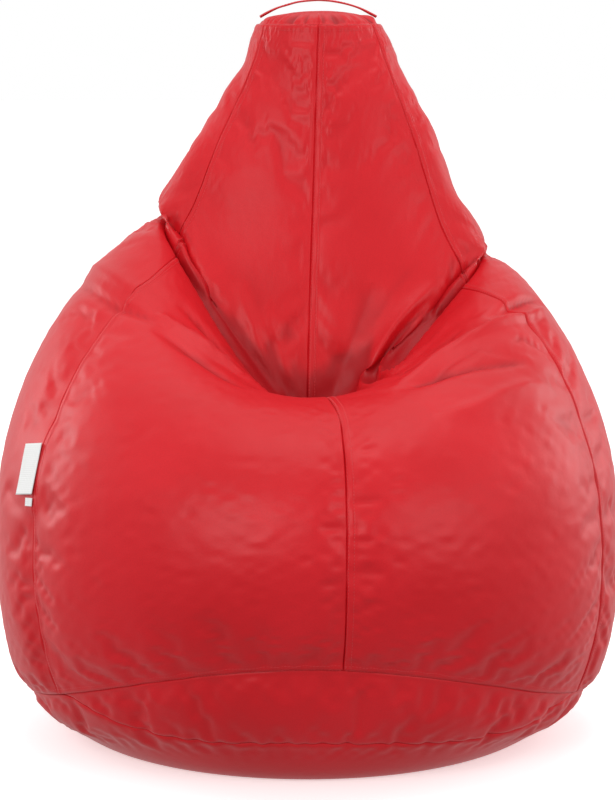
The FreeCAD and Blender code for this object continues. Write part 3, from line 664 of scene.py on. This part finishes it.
def pale_floor():
    """Matt white board with the faintest mottle."""
    finish = Finish("studio_floor", IOR=1.2, Emission_Color=(1, 1, 1, 1), Emission_Strength=0.5)
    mottle = finish.noise(3, 2)
    colour = finish.mix(mottle, (0.88, 0.88, 0.88, 1), (0.9, 0.9, 0.9, 1))
    return finish.wear(Base_Color=colour, Roughness=0.8 + mottle * 0.05)


LEATHERETTE, THREAD, FLOOR_PAINT = leatherette(), thread(), pale_floor()
ZIP_WEB, ZIP_TEETH, NICKEL, LABEL_CLOTH = zip_web(), moulded_teeth(), nickel(), woven_label()

# ---------------------------------------------------------------- meshes
COVER_WALL = 1.2 * MM


def new_piece(name, points, quads, material, body="bag", ends=()):
    """A smooth-shaded mesh at the origin, riding on a body: its quads, and the many-sided faces that close its ends."""
    mesh = bpy.data.meshes.new(name)
    mesh.from_pydata(points.reshape(-1, 3).tolist(), [], quads.tolist() + [list(end) for end in ends])
    mesh.polygons.foreach_set("use_smooth", np.ones(len(mesh.polygons), bool))
    mesh.materials.append(material)
    piece = bpy.data.objects.new(name, mesh)
    bpy.context.scene.collection.objects.link(piece)
    if body:
        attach(piece, body)
    return piece


def paint(piece, name, values):
    """A float attribute on a piece's points."""
    piece.data.attributes.new(name, "FLOAT", "POINT").data.foreach_set("value", np.ravel(values).astype(np.float32))


def give_wall(piece, thick=COVER_WALL):
    """Cloth thickness inwards from the outside face, closed round the rim."""
    wall = piece.modifiers.new("wall", "SOLIDIFY")
    wall.thickness, wall.offset, wall.use_rim, wall.use_even_offset = thick, -1, True, False


def eased_ends(count, ends):
    """Places from 0 to 1, closer together at both ends: t - ends sin(2 pi t) / 2 pi."""
    t = np.linspace(0, 1, count)
    return t - ends * np.sin(2 * PI * t) / (2 * PI)


def row_levels(count):
    """Levels from the base seam to the cap seam, evenly spread over the mean of eight lines up the bag."""
    fine = np.linspace(BASE_SEAM, CAP_SEAM, 600)
    lines = bag_point(fine[:, None], (np.arange(8) + 0.5)[None] * PI / 4)
    run = np.linalg.norm(np.diff(lines, axis=0), axis=2).mean(1)
    travelled = np.concatenate([[0], np.cumsum(run)])
    return np.interp(eased_ends(count, 0.55) * travelled[-1], travelled, fine)


GORE_ROWS, GORE_COLUMNS = (330, 129)
GORE_LEVELS = row_levels(GORE_ROWS)
GORE_SHARES = eased_ends(GORE_COLUMNS, 0.82)


def fold_shade_share(points):
    """How deep in a fold each grid point sits, used as painted shade on the cover: its distance below the mean of
    points eight steps away, 0 to 1.
    """
    reach = 8
    padded = np.pad(points, ((reach, reach), (reach, reach), (0, 0)), mode="edge")
    rows, columns = points.shape[:2]
    around = sum(
        padded[reach + i:reach + i + rows, reach + j:reach + j + columns]
        for i, j in ((-reach, 0), (reach, 0), (0, -reach), (0, reach))
    ) / 4
    up = np.gradient(points, axis=0)
    along = np.gradient(points, axis=1)
    normal = unit(np.cross(along, up))
    depth = np.einsum("ijk,ijk->ij", around - points, normal)
    return smooth(depth / (7 * MM))


def gore(name, place):
    """One long panel from the base seam to the cap seam, between two gore seams; the zip's panels part round it."""
    level = np.repeat(GORE_LEVELS[:, None], GORE_COLUMNS, 1)
    angle = (place + GORE_SHARES)[None] * GORE + 0 * level
    if place in (2, 3):
        edge = 0 * level + PI
        _, along, _ = bag_axes(level, edge)
        height = bag_point(level, edge)[..., 2]
        opening = ZIP_HALF_OPENING / np.linalg.norm(along, axis=-1)
        opening *= beside_zip(height, 30 * MM) * (level < BELLY_TOP + 1)
        share = GORE_SHARES[None] if place == 2 else 1 - GORE_SHARES[None]
        angle += (opening * share) * (-1 if place == 2 else 1)
    points = cover_point(level, angle)
    piece = new_piece(name, points, grid_quads(*level.shape), LEATHERETTE)
    # Painted shade, darkest deep in the folds.
    paint(piece, "tucked", fold_shade_share(points))
    give_wall(piece)
    return piece


GORES = ["front_left", "side_left", "back_left", "back_right", "side_right", "front_right"]
for place, side in enumerate(GORES):
    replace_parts(gore(f"{side}_gore", place), f"{side}_panel")


def base_segment(name, middle):
    """The small panel between a chord and the base seam."""
    turn = np.linspace(-0.985, 0.985, 221) * GORE + middle
    share = eased_ends(44, 0.8)[:, None]
    low = chord_level(turn)[None]
    level = low + (BASE_SEAM - low) * share
    points = cover_point(level, turn[None])
    piece = new_piece(name, points, grid_quads(*level.shape), LEATHERETTE)
    paint(piece, "tucked", 0 * level)
    give_wall(piece)
    return piece


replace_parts(base_segment("front_base_segment", 0), "base_front_segment")
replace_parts(base_segment("back_base_segment", PI), "base_back_segment")


def base_centre():
    """The panel on the floor: a flat disc, and the skirt that turns up from it to the chords and the base seam."""
    angle = np.arange(600)[None] / 600 * 2 * PI
    top = chord_level(angle)
    skirt = cover_point(top * eased_ends(56, 0.5)[:, None], angle)
    middle = np.array([0, 0.5 * (FRONT[0, 0] + REAR[0, 0]) * SCALE[1], 0])
    disc = middle + (skirt[0] - middle) * np.linspace(0.02, 0.97, 14)[:, None, None]
    points = np.concatenate([disc, skirt])
    quads = grid_quads(len(points), angle.shape[1], closed=True)
    piece = new_piece("base_centre", points, quads, LEATHERETTE, ends=[np.arange(angle.shape[1])[::-1].tolist()])
    paint(piece, "tucked", 0 * points[..., 0])
    give_wall(piece)
    return piece


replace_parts(base_centre(), "base_centre_panel", "inner_liner", "bead_fill")


# ---------------------------------------------------------------- topstitching
STITCH_PITCH, STITCH_LONG, STITCH_RADIUS = 4.6 * MM, 3.6 * MM, 0.42 * MM
STITCH_SIDES = 6


def stitch_beads(point, normal):
    """One stitch each pitch along a line: four rings of a hexagon, thin at the ends, which dip into the cover."""
    travelled = np.concatenate([[0], np.cumsum(np.linalg.norm(np.diff(point, axis=0), axis=1))])
    middles = np.arange(STITCH_PITCH, travelled[-1] - STITCH_PITCH / 2, STITCH_PITCH)

    def pick(values, at):
        return np.stack([np.interp(at, travelled, column) for column in values.T], -1)

    at, out = pick(point, middles), unit(pick(normal, middles))
    ahead = unit(pick(point, middles + MM) - pick(point, middles - MM))
    side = np.cross(out, ahead)
    turn = np.arange(STITCH_SIDES) / STITCH_SIDES * 2 * PI
    along = np.array([-0.5, -0.3, 0.3, 0.5])[:, None] * STITCH_LONG
    radius = np.array([0.35, 1.0, 1.0, 0.35])[:, None] * STITCH_RADIUS
    sink = np.array([-0.5, 0.25, 0.25, -0.5])[:, None] * STITCH_RADIUS
    local = np.stack(np.broadcast_arrays(along, radius * np.cos(turn), radius * np.sin(turn) + sink), -1)
    axes = np.stack([ahead, side, out], 1)
    return at[:, None, None] + np.einsum("rsk,nkj->nrsj", local, axes)


def stitch_piece(name, lines, body="bag"):
    """All the stitches of several lines as one piece. A line is its points and the outward normals there."""
    beads = np.concatenate([stitch_beads(point, normal) for point, normal in lines])
    count, rings, sides, _ = beads.shape
    one = grid_quads(rings, sides, closed=True)
    start = np.arange(count)[:, None, None] * rings * sides
    quads = (one[None, :, ::-1] + start).reshape(-1, 4)
    ends = np.stack([np.arange(sides), np.arange(sides)[::-1] + (rings - 1) * sides])
    caps = (ends[None] + start).reshape(-1, sides)
    return new_piece(name, beads, quads, THREAD, body, ends=caps.tolist())


def cover_line(level, angle):
    """Points on the finished cover and the smooth bag's normals there."""
    level, angle = np.broadcast_arrays(level, angle)
    return cover_point(level, angle), bag_axes(level, angle)[2]


def gore_stitches(k):
    """Two lines up a gore seam, both over the turned allowance; along the zip, one line each side of it."""
    level = np.linspace(BASE_SEAM + 0.03, CAP_SEAM - 0.03, 900)
    seam = k * GORE + 0 * level
    per_radian = np.linalg.norm(bag_axes(level, seam)[1], axis=-1)
    offsets = [STITCH_NEAR, STITCH_FAR]
    if k == ZIP_SEAM:
        parted = ZIP_HALF_OPENING * beside_zip(bag_point(level, seam)[..., 2], 30 * MM) * (level < BELLY_TOP + 1)
        offsets = [3 * MM + parted, -3 * MM - parted]
    return [cover_line(level, seam + across / per_radian) for across in offsets]


def ring_stitches(ring, way):
    """Two lines round the base seam or the cap seam, on the gores' side of it."""
    angle = np.linspace(0, 2 * PI, 1800)
    per_ring = np.linalg.norm(bag_axes(ring + 0 * angle, angle)[0], axis=-1)
    return [cover_line(ring + way * across / per_ring, angle) for across in (STITCH_NEAR, STITCH_FAR)]


for k, side in enumerate(("front_centre", "front_left", "rear_left", "rear_centre", "rear_right", "front_right")):
    stitch_piece(f"{side}_topstitch", gore_stitches(k))
stitch_piece("base_topstitch", ring_stitches(BASE_SEAM, 1))
stitch_piece("cap_topstitch", ring_stitches(CAP_SEAM, -1))

# ---------------------------------------------------------------- top cap
CAP_RISE = 20 * MM
STRAP_DENT = 5 * MM


def top_cap():
    """The round top panel: height (1 - r ** 3.2) above its seam, gathered into the seam, dented under the strap."""
    columns = 360
    angle = np.arange(columns)[None] / columns * 2 * PI
    seam = cover_point(np.full(angle.shape, float(CAP_SEAM)), angle)
    centre = seam.mean(1, keepdims=True)
    r = (1 - eased_ends(46, 0.3)[:-1] ** 1.3)[::-1, None]
    points = centre + (seam - centre) * r[..., None]
    gather = wander(angle * 0.088, 7 * MM, 61) + 0.7 * wander(angle * 0.088, 15 * MM, 62)
    near_seam = np.exp(-(((r - 0.86) / 0.17) ** 2)) * smooth((1 - r) / 0.08)
    dome = CAP_RISE * (1 - r**3.2) * smooth(0.1 + (1 - r) / 0.1)
    slack = 2.0 * MM * wander(points[..., 0] + 0.3 * points[..., 1], 30 * MM, 63) * smooth((1 - r) / 0.3)
    strap = np.exp(-(((points[..., 1] - centre[..., 1]) / (17 * MM)) ** 2)) * smooth((1 - r) / 0.3)
    points[..., 2] += dome + gather * near_seam * 3.2 * MM + slack - strap * STRAP_DENT
    swell = 1 + 0.05 * np.sin(PI * np.clip((r - 0.6) / 0.4, 0, 1))
    points[..., :2] = centre[..., :2] + (points[..., :2] - centre[..., :2]) * swell[..., None]
    quads = grid_quads(*points.shape[:2], closed=True)[:, ::-1]
    piece = new_piece("gathered_top_cap", points, quads, LEATHERETTE, ends=[range(columns)])
    # Painted shade in the hollows of the gathers by the seam.
    paint(piece, "tucked", smooth(-gather * near_seam))
    give_wall(piece)
    return piece


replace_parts(top_cap(), "top_cap")

# ---------------------------------------------------------------- carry strap
def strap_shape():
    """The strap's middle line, its half width and its axes: an arc over the cap, narrower at its gathered ends."""
    low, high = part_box("carry_handle")
    u = np.linspace(-1, 1, 181)
    reach, rise = (high.x - low.x) / 2, high.z - low.z
    x = (low.x + high.x) / 2 + reach * u
    z = low.z + rise * (1 - np.abs(u) ** 2.1) - 1.2 * MM
    middle = np.stack([x, np.full(x.shape, (low.y + high.y) / 2), z], -1)
    half = (high.y - low.y) / 2 * (1 - 0.45 * smooth((np.abs(u) - 0.5) / 0.5))
    ahead = unit(np.gradient(middle, axis=0))
    side = np.array([0.0, 1.0, 0.0]) + 0 * ahead
    return u, middle, half, ahead, side, np.cross(ahead, side)


def carry_strap():
    """A folded strap: a flat oval section, crowned by its filling, with creases where its ends are gathered."""
    u, middle, half, _, side, out = strap_shape()
    turn = np.arange(40) / 40 * 2 * PI
    c, s = np.cos(turn), np.sin(turn)
    across = np.sign(c) * np.abs(c) ** 0.6
    crown = 0.25 * np.exp(-((across / 0.6) ** 2))
    stitch_dip = 0.35 * np.exp(-(((np.abs(across) - 0.72) / 0.08) ** 2))
    through = np.sign(s) * np.abs(s) ** 0.75 * (1 + crown - stitch_dip)
    pleats = 0.5 * np.cos(across[None] * 9) * smooth((np.abs(u) - 0.62) / 0.3)[:, None]
    height = (1.15 + pleats) * through * MM
    waver = 0.5 * MM * wander(u * 0.09, 16 * MM, 71)
    points = (
        middle[:, None] + side[:, None] * (across[None] * half[:, None])[..., None]
        + out[:, None] * (height + waver[:, None])[..., None]
    )
    quads = grid_quads(*points.shape[:2], closed=True)
    columns, last = len(turn), (len(u) - 1) * len(turn)
    ends = [list(range(columns))[::-1], list(range(last, last + columns))]
    piece = new_piece("folded_carry_strap", points, quads, LEATHERETTE, "carry_handle", ends=ends)
    # Painted shade in the pleats' hollows at the strap's gathered ends.
    paint(piece, "tucked", smooth(-pleats * 1.6 + 0 * height))
    return piece


def strap_stitches():
    """A line of stitches along each edge of the strap, on its upper face."""
    u, middle, half, _, side, out = strap_shape()
    inside = np.abs(u) < 0.86
    lines = [
        ((middle + side * (way * 0.72 * half)[:, None] + out * 0.85 * MM)[inside], out[inside])
        for way in (-1, 1)
    ]
    return stitch_piece("strap_topstitch", lines, "carry_handle")


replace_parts(carry_strap(), "carry_handle")
strap_stitches()

# ---------------------------------------------------------------- labels
def joint_frame(name, node):
    """A label's place from the frame: its seam's middle, and the ways away from the seam, along it and outwards."""
    joint = next(j for j in frame["joints"] if j["name"] == name)
    low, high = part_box(node)
    pivot, axis = np.array(joint["pos_m"], float), unit(np.array(joint["axis"], float))
    away = (np.array(low) + np.array(high)) / 2 - pivot
    away = unit(away - axis * (away @ axis))
    out = np.cross(axis, away)
    return pivot, away, axis, out


def folded_strip(wide):
    """The section of a strip folded double at its free edge: its outer face out and back, then its inner face."""
    leaf, fold = np.linspace(0, 1, 24), np.linspace(-PI / 2, PI / 2, 9)[1:-1]
    faces = []
    for gap, way in ((0.42 * MM, 1), (0.08 * MM, -1)):
        across = np.concatenate([leaf * wide, wide + np.cos(fold) * gap, leaf[::-1] * wide])
        through = np.concatenate([0 * leaf - gap, np.sin(fold) * gap, 0 * leaf + gap])
        faces.append(np.stack([across, through], -1)[::way])
    return np.concatenate(faces).T


def cloth_label(name, node, joint, body, wide, tall):
    """A blank strip folded double, sewn in by its two cut ends and bowed to lie along the cover."""
    pivot, away, along, out = joint_frame(joint, node)
    across, through = folded_strip(wide)
    place = np.linspace(-0.5, 0.5, 31)
    sag = across[None] / (48 * MM)
    bow = (-1.6 * sag**2 + 0.35 * np.sin(place * 5)[:, None] * sag) * MM
    points = (
        pivot + away * across[None, :, None] + along * (place * tall)[:, None, None]
        + out * (through[None] + bow)[..., None]
    )
    quads = grid_quads(*points.shape[:2], closed=True)
    columns, last = points.shape[1], (len(place) - 1) * points.shape[1]
    ends = [list(range(columns))[::-1], list(range(last, last + columns))]
    piece = new_piece(name, points, quads, LABEL_CLOTH, body, ends)
    strip = np.linspace(0, 4 * wide, columns)
    flat = np.stack(np.broadcast_arrays(strip[None], place[:, None] * tall), -1)
    corner = np.zeros(len(piece.data.loops), int)
    piece.data.loops.foreach_get("vertex_index", corner)
    cloth_place = flat.reshape(-1, 2)[corner].astype(np.float32).ravel()
    piece.data.uv_layers.new(name="flat").data.foreach_set("uv", cloth_place)
    return piece


side_label = cloth_label("blank_side_label", "side_label", "label_flap", "side_label", 48 * MM, 70 * MM)
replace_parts(side_label, "side_label")
size_tag = cloth_label("blank_size_tag", "size_tag", "tag_flap", "size_tag", 20 * MM, 11 * MM)
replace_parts(size_tag, "size_tag")

# ---------------------------------------------------------------- finishes of the zip's own parts
ZIP_FINISHES = {
    "zip_tape_left": ZIP_WEB, "zip_tape_right": ZIP_WEB, "zip_teeth_left": ZIP_TEETH, "zip_teeth_right": ZIP_TEETH,
    "zip_top_stops": NICKEL, "zip_bottom_stop": NICKEL, "zip_slider": NICKEL, "zip_pull": NICKEL,
}
for node, finish in ZIP_FINISHES.items():
    frame["nodes"][node].data.materials.clear()
    frame["nodes"][node].data.materials.append(finish)


# ---------------------------------------------------------------- studio
def aim(thing, target):
    thing.rotation_euler = (Vector(target) - thing.location).to_track_quat("-Z", "Y").to_euler()


def softbox(name, place, target, wide, tall, watts):
    light = bpy.data.lights.new(name, "AREA")
    light.shape, light.size, light.size_y, light.energy = "RECTANGLE", wide, tall, watts
    box = bpy.data.objects.new(name, light)
    bpy.context.scene.collection.objects.link(box)
    box.location = place
    aim(box, target)


def white_room():
    """A sky that is dim before the bag and bright behind it, and plain white where it is looked at directly."""
    world = bpy.data.worlds.new("white_room")
    world.use_nodes = True
    tree = world.node_tree
    nodes, link = tree.nodes, tree.links.new
    towards = nodes.new("ShaderNodeVectorMath")
    towards.operation = "DOT_PRODUCT"
    towards.inputs[1].default_value = (0, 0.9, 0.45)
    link(nodes.new("ShaderNodeTexCoord").outputs["Generated"], towards.inputs[0])
    depth = nodes.new("ShaderNodeMapRange")
    depth.inputs["From Min"].default_value, depth.inputs["From Max"].default_value = -0.6, 1.0
    depth.inputs["To Min"].default_value, depth.inputs["To Max"].default_value = 0.42, 0.9
    link(towards.outputs["Value"], depth.inputs["Value"])
    seen = nodes.new("ShaderNodeMix")
    link(nodes.new("ShaderNodeLightPath").outputs["Is Camera Ray"], seen.inputs[0])
    link(depth.outputs["Result"], seen.inputs[2])
    seen.inputs[3].default_value = 1.0
    link(seen.outputs[0], nodes["Background"].inputs["Strength"])
    nodes["Background"].inputs["Color"].default_value = (1, 1, 1, 1)
    return world


def studio():
    """A pale floor under a white sky, a broad key from the front left, a fill and a rim light behind."""
    mesh = bpy.data.meshes.new("studio_floor")
    far = 30
    mesh.from_pydata([(-far, -far, 0), (far, -far, 0), (far, far, 0), (-far, far, 0)], [], [(0, 1, 2, 3)])
    mesh.materials.append(FLOOR_PAINT)
    floor = bpy.data.objects.new("studio_floor", mesh)
    floor.visible_diffuse = floor.visible_glossy = False
    bpy.context.scene.collection.objects.link(floor)
    softbox("key", (-1.7, -3.4, 1.9), (0, 0, 0.45), 2.0, 1.8, 50)
    softbox("fill", (2.8, -2.6, 1.6), (0, 0, 0.45), 1.8, 1.8, 30)
    softbox("top", (0.2, -0.4, 3.4), (0, 0.1, 0.5), 2.4, 1.4, 22)
    softbox("rim_left", (-3.2, 1.6, 1.4), (0, 0.1, 0.5), 1.4, 2.0, 30)
    softbox("rim_right", (3.2, 1.6, 1.4), (0, 0.1, 0.5), 1.4, 2.0, 30)
    bpy.context.scene.world = white_room()
    bpy.context.scene.view_settings.view_transform = "Standard"


def camera():
    """A long lens a little above the cap's height, tipped down at the belly."""
    lens = bpy.data.cameras.new("camera")
    lens.lens, lens.sensor_width, lens.clip_end = 127, 36, 60
    eye = bpy.data.objects.new("camera", lens)
    bpy.context.scene.collection.objects.link(eye)
    eye.location = (0, -3.9, 1.0)
    eye.rotation_euler = (math.radians(90 - 7.72), 0, 0)
    bpy.context.scene.camera = eye


studio()
camera()

bpy.context.view_layer.update()
